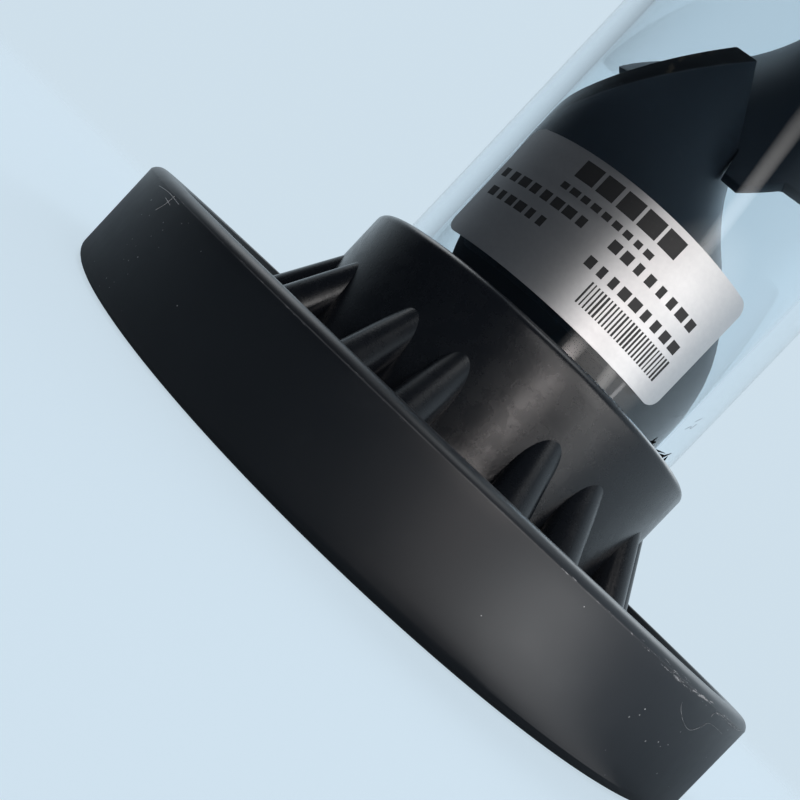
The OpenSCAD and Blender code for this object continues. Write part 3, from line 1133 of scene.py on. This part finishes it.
def makeSlivers():
    form = sliverForm
    slivers = addPiece("cementSlivers", bmesh.new())
    runTree(slivers, makeSliverTree(), {
        "Count": form["count"],
        "Arc From": form["arcFrom"],
        "Arc To": form["arcTo"],
        "Radius": form["radius"],
        "Spread": form["spread"],
        "Height": hubTop + form["lift"],
        "Length": form["length"],
        "Thickness": form["thickness"],
        "Seed": form["seed"],
    })
    chip = sharpen(addPiece("paleChip", chipBlock(), paleChip))
    for piece in (slivers, chip):
        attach(piece, "root")
    print("slivers made")


makeSlivers()


# hairline scratches, each a run of (degrees round the axis, millimetres up)

hairForm = {"thickness": 0.05 * mm, "smoothness": 8, "sides": 6, "sharpAngle": math.radians(80)}
rimHairs = [
    [(-55.6, 20.3), (-54.8, 19.2), (-52.6, 17.8), (-50.4, 17.4),
     (-49.0, 18.9), (-47.8, 20.5), (-42.5, 20.4)],
    [(-48.9, 21.6), (-48.1, 22.9), (-41.0, 22.6), (-36.5, 22.9)],
    [(-138.9, 18.8), (-138.0, 21.0), (-137.7, 23.0)],
    [(-143.5, 22.2), (-139.5, 22.7), (-135.5, 22.5)],
    [(-139.2, 21.6), (-137.0, 21.3)],
]
pipeHairs = [
    [(-38.5, 63.0), (-36.8, 64.6), (-36.0, 64.2), (-34.9, 66.0)],
    [(-37.0, 66.0), (-35.0, 67.8)],
]
hairlines = [
    # name, runs, radius that they lie on, material slot
    ("rimHairlines", rimHairs, flangeRadius, "flange_plastic"),
    ("pipeHairlines", pipeHairs, pipeRadius, "clear_plastic"),
]


def makeHairTree():
    inputs = {"Radius": "Float", "Thickness": "Float", "Smoothness": "Int"}
    tree, given = newTree("hairline", inputs)
    curve = addNode(tree, "GeometryNodeMeshToCurve", {0: given["Geometry"]}).outputs[0]
    curve = addNode(tree, "GeometryNodeCurveSplineType", {0: curve}, spline_type="CATMULL_ROM").outputs[0]
    curve = addNode(tree, "GeometryNodeSetSplineResolution", {
        "Geometry": curve, "Resolution": given["Smoothness"],
    }).outputs[0]
    profile = addNode(tree, "GeometryNodeCurvePrimitiveCircle", {
        "Resolution": hairForm["sides"], "Radius": given["Thickness"],
    }).outputs["Curve"]
    line = addNode(tree, "GeometryNodeCurveToMesh", {
        "Curve": curve, "Profile Curve": profile, "Fill Caps": True,
    }).outputs[0]
    closeTree(tree, wrap(tree, line, given["Radius"], 0.0), paleScratch, hairForm["sharpAngle"])
    return tree


def makeHairlines():
    tree = makeHairTree()
    for name, runs, radius, slot in hairlines:
        work = bmesh.new()
        for run in runs:
            points = [work.verts.new((math.radians(a) * radius, 0, z * mm)) for a, z in run]
            for first, second in zip(points, points[1:]):
                work.edges.new((first, second))
        hairs = addPiece(name, work)
        runTree(hairs, tree, {
            "Radius": radius,
            "Thickness": hairForm["thickness"],
            "Smoothness": hairForm["smoothness"],
        })
        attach(hairs, "root")
    print("hairlines made")


makeHairlines()


# floor, light and camera

stageLook = {
    "paleBack": (0.62, 0.74, 0.83, 1),
    "room": (0.014, 0.018, 0.024, 1),
    "fill": (0.080, 0.098, 0.116, 1),
    "brightSide": (0.55, 0.8, -0.1),  # reflections see the pale back on this side
    "brightFrom": -0.55,
    "brightTo": 0.45,
    "floorColour": (0.26, 0.31, 0.35, 1),
    "floorRough": 0.9,
    "floorSpecular": 0.1,
    "floorGlow": 0.80,
    "floorGloss": 0.05,  # share of the glow that reflections see
    "floorRadius": 2.0,
    "floorSegments": 96,
    "fadeFrom": 0.16,
    "fadeTo": 1.2,
}
lamps = [
    # name, azimuth from the camera, elevation, width, height, roll, watts, colour
    ("softKey", 38, 14, 2.5, 0.6, 0, 13.2, (1.0, 0.97, 0.95)),
    ("warmCard", 15, 3.8, 0.42, 0.46, 0, 6.8, (1.0, 0.93, 0.91)),
    ("labelCard", 2, 15, 0.9, 0.34, 0, 4.4, (1.0, 0.98, 0.97)),
    ("lowBand", 53, 5, 0.12, 0.5, 0, 0.9, (0.98, 0.98, 1.0)),
    ("strip", 36, 15, 0.26, 2.2, 45, 6.0, (1.0, 0.98, 0.96)),
    ("topSoft", 20, 76, 1.4, 1.4, 0, 16.0, (0.95, 0.98, 1.0)),
    ("leftSoft", -125, 48, 1.5, 1.3, 0, 15.0, (0.95, 0.98, 1.0)),
    ("backSoft", 150, 40, 1.6, 1.4, 0, 20.0, (0.9, 0.96, 1.0)),
]
lampAim = Vector((0, 0, 60 * mm))
lampDistance = 2.0
# glowing card flat on the floor, seen only in the rim
floorCard = {
    "from": 16.5,  # the place on the rim, and the way out from there, in degrees from the camera
    "azimuth": 47,
    "distance": 0.17,
    "size": (0.08, 0.34),
    "height": 2 * mm,
    "watts": 0.58,
    "colour": (1, 1, 1),
}
photoView = {
    "place": (-14.0 * mm, -219.0 * mm, 27.2 * mm),
    "heading": math.radians(2.325),
    "pitch": math.radians(-1.587),
    "roll": math.radians(43.51),
    "lens": 38.34,
    "sensor": 36,
    "clipStart": 1 * mm,
    "shift": (-0.0343, 0.0454),
    "azimuth": -3.66,  # where the camera stands round the axis, in degrees
}


def straightView(tree, path):
    # 1 where the camera looks straight at a thing or through the clear pipe at it
    unmirrored = calc(tree, "LESS_THAN", path["Glossy Depth"], 0.5)
    through = calc(tree, "MULTIPLY", path["Is Transmission Ray"], unmirrored)
    return calc(tree, "MAXIMUM", path["Is Camera Ray"], through)


def mirrorView(tree, path):
    return calc(tree, "MAXIMUM", path["Is Glossy Ray"], path["Is Transmission Ray"])


def makeWorld():
    look = stageLook
    world = bpy.data.worlds.new("studio")
    bpy.context.scene.world = world
    world.use_nodes = True
    tree = world.node_tree
    tree.nodes.clear()
    path = addNode(tree, "ShaderNodeLightPath").outputs
    way = addNode(tree, "ShaderNodeTexCoord").outputs["Generated"]
    side = addNode(tree, "ShaderNodeVectorMath", {
        0: way, 1: look["brightSide"],
    }, operation="DOT_PRODUCT").outputs["Value"]
    bright = fade(tree, side, look["brightFrom"], look["brightTo"])
    shown = blendColour(tree, bright, look["room"], look["paleBack"])
    colour = blendColour(tree, mirrorView(tree, path), look["fill"], shown)
    colour = blendColour(tree, straightView(tree, path), colour, look["paleBack"])
    back = addNode(tree, "ShaderNodeBackground", {"Color": colour, "Strength": 1.0}).outputs[0]
    addNode(tree, "ShaderNodeOutputWorld", {0: back})


def makeFloor():
    look = stageLook
    work = bmesh.new()
    bmesh.ops.create_circle(work, cap_ends=True, segments=look["floorSegments"], radius=look["floorRadius"])
    material, tree, shader, place = newMaterial("paleFloor")
    shader.inputs["Base Color"].default_value = look["floorColour"]
    shader.inputs["Roughness"].default_value = look["floorRough"]
    shader.inputs["Specular IOR Level"].default_value = look["floorSpecular"]
    path = addNode(tree, "ShaderNodeLightPath").outputs
    mirrored = calc(tree, "MULTIPLY", mirrorView(tree, path), look["floorGloss"])
    seen = calc(tree, "MAXIMUM", straightView(tree, path), mirrored)
    shader.inputs["Emission Color"].default_value = look["paleBack"]
    tree.links.new(calc(tree, "MULTIPLY", seen, look["floorGlow"]), shader.inputs["Emission Strength"])
    away = addNode(tree, "ShaderNodeVectorMath", {0: place}, operation="LENGTH").outputs["Value"]
    clear = addNode(tree, "ShaderNodeBsdfTransparent").outputs[0]
    share = fade(tree, away, look["fadeFrom"], look["fadeTo"])
    mixed = addNode(tree, "ShaderNodeMixShader", {0: share, 1: shader.outputs[0], 2: clear}).outputs[0]
    tree.links.new(mixed, tree.nodes["Material Output"].inputs["Surface"])
    floor = addPiece("paleFloor", work, material, False)


def softenLamp(lamp):
    # full strength in the middle, fading to nothing at the lamp's edges
    lamp.use_nodes = True
    tree = lamp.node_tree
    across = split(tree, addNode(tree, "ShaderNodeNewGeometry").outputs["Parametric"])
    share = 16.0  # each side's factor is a quarter at most, so the middle comes to 1
    for side in across[:2]:
        factor = calc(tree, "MULTIPLY", side, calc(tree, "SUBTRACT", 1.0, side))
        share = calc(tree, "MULTIPLY", share, factor)
    tree.links.new(share, tree.nodes["Emission"].inputs["Strength"])


def addLamp(name, size, watts, colour, place, turn):
    lamp = bpy.data.lights.new(name, "AREA")
    lamp.shape = "RECTANGLE"
    lamp.size, lamp.size_y = size
    lamp.energy = watts
    lamp.color = colour
    softenLamp(lamp)
    piece = bpy.data.objects.new(name, lamp)
    piece.location = place
    piece.rotation_euler = turn
    piece.visible_camera = False
    piece.visible_transmission = False
    bpy.context.scene.collection.objects.link(piece)


def fromCamera(azimuth):
    # level direction at an angle from the camera's, and that angle as a turn
    turn = math.radians(azimuth + photoView["azimuth"])
    return Vector((math.sin(turn), -math.cos(turn), 0)), turn


def makeLamps():
    for name, azimuth, elevation, width, height, roll, watts, colour in lamps:
        rise = math.radians(elevation)
        away = fromCamera(azimuth)[0] * math.cos(rise) + Vector((0, 0, math.sin(rise)))
        facing = (-away).to_track_quat("-Z", "Y") @ Quaternion((0, 0, 1), math.radians(roll))
        addLamp(name, (width, height), watts, colour, lampAim + away * lampDistance, facing.to_euler())
    card = floorCard
    away, turn = fromCamera(card["azimuth"])
    place = fromCamera(card["from"])[0] * flangeRadius + away * card["distance"]
    place.z = card["height"]
    addLamp("floorCard", card["size"], card["watts"], card["colour"], place, (math.pi, 0, turn))


def makeCamera():
    view = photoView
    data = bpy.data.cameras.new("photoCamera")
    data.lens = view["lens"]
    data.sensor_width = view["sensor"]
    data.shift_x, data.shift_y = view["shift"]
    data.clip_start = view["clipStart"]
    camera = bpy.data.objects.new("photoCamera", data)
    camera.matrix_world = (
        Matrix.Translation(view["place"])
        @ Matrix.Rotation(-view["heading"], 4, "Z")
        @ Matrix.Rotation(math.pi / 2 + view["pitch"], 4, "X")
        @ Matrix.Rotation(view["roll"], 4, "Z")
    )
    bpy.context.scene.collection.objects.link(camera)
    bpy.context.scene.camera = camera


makeWorld()
makeFloor()
makeLamps()
makeCamera()
bpy.context.scene.view_settings.view_transform = "Standard"
print("stage set")
